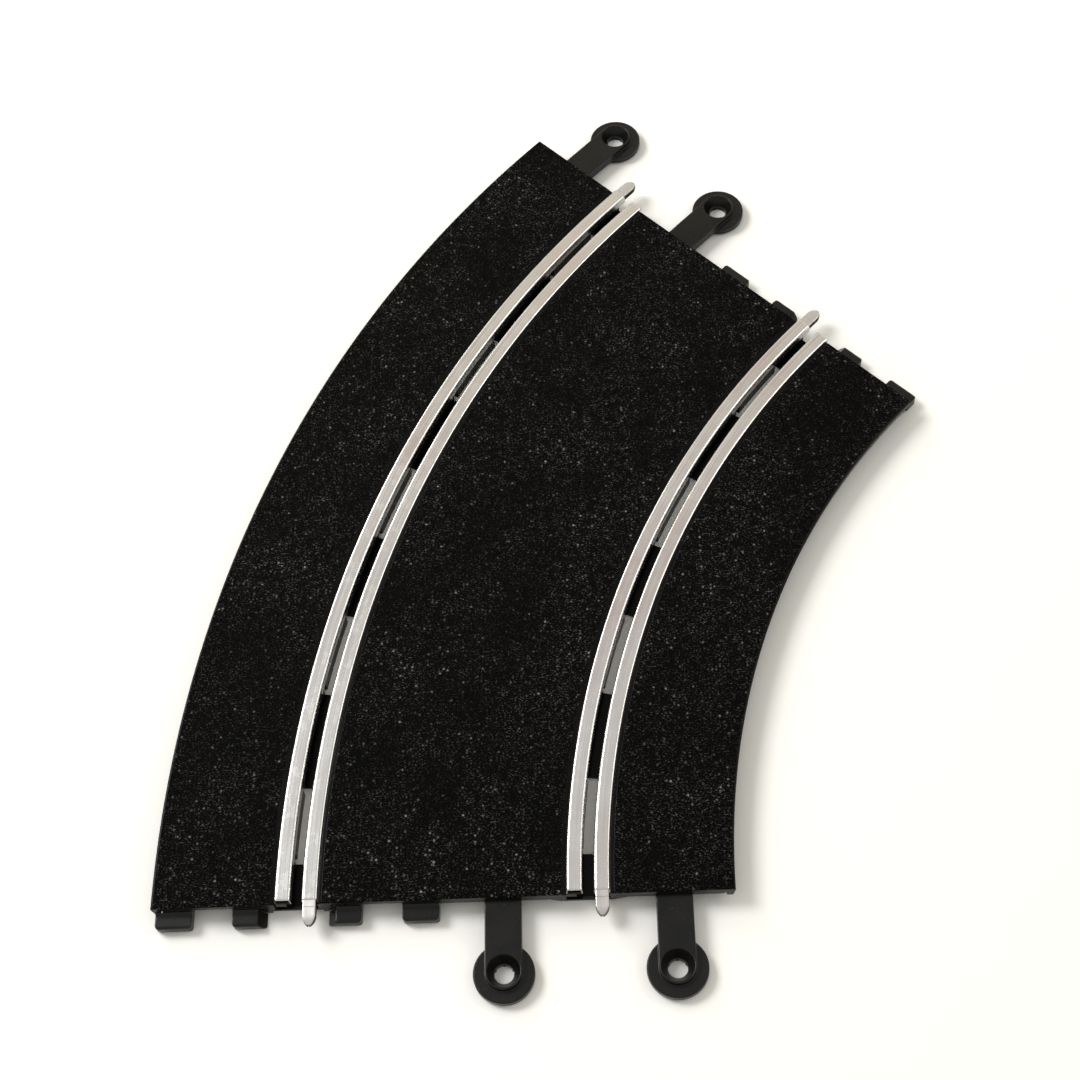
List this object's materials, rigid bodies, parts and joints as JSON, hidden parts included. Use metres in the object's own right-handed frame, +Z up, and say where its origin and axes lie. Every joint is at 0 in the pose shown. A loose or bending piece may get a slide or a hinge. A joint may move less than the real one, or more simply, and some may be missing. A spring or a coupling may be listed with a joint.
{
  "type": "slot car track curve",
  "caption": "Curved two-lane slot car track section: gritty black road, folded steel rails beside each guide slot, and ring-ended lugs with alignment tabs at each end.",
  "frame": {"origin": "centre of the bottom of the section's box, on the floor it lies on", "axes": "+Z up out of the road, +Y along the direction of travel at the first end and along the longest side of the box, +X towards the centre of the curve"},
  "size_m": [0.2208, 0.2994, 0.0071],
  "materials": {
    "road_plastic": "black, with a fine gritty tyre-gripping texture",
    "moulded_plastic": "black, smooth satin as moulded",
    "rail_steel": "bright tinned, lightly scratched along the track",
    "tongue_steel": "satin tinned"
  },
  "bodies": {
    "root": {"outer_roadway": "road_plastic", "centre_roadway": "road_plastic", "inner_roadway": "road_plastic", "outer_edge_wall": "moulded_plastic", "inner_edge_wall": "moulded_plastic", "outer_lane_outside_wall": "moulded_plastic", "outer_lane_inside_wall": "moulded_plastic", "outer_lane_slot_bridges": "moulded_plastic", "inner_lane_outside_wall": "moulded_plastic", "inner_lane_inside_wall": "moulded_plastic", "inner_lane_slot_bridges": "moulded_plastic", "outer_road_ribs": "moulded_plastic", "centre_road_ribs": "moulded_plastic", "inner_road_ribs": "moulded_plastic", "near_slot_sills": "moulded_plastic", "far_slot_sills": "moulded_plastic", "near_end_wall": "moulded_plastic", "far_end_wall": "moulded_plastic", "near_alignment_tabs": "moulded_plastic", "far_alignment_tabs": "moulded_plastic", "near_snap_pegs": "moulded_plastic", "far_snap_pegs": "moulded_plastic", "near_left_lug": "moulded_plastic", "near_right_lug": "moulded_plastic", "far_left_lug": "moulded_plastic", "far_right_lug": "moulded_plastic", "outer_lane_outside_rail": "rail_steel", "outer_lane_inside_rail": "rail_steel", "inner_lane_outside_rail": "rail_steel", "inner_lane_inside_rail": "rail_steel", "near_outer_lane_tongue": "tongue_steel", "near_inner_lane_tongue": "tongue_steel", "far_outer_lane_tongue": "tongue_steel", "far_inner_lane_tongue": "tongue_steel"}
  },
  "joints": []
}
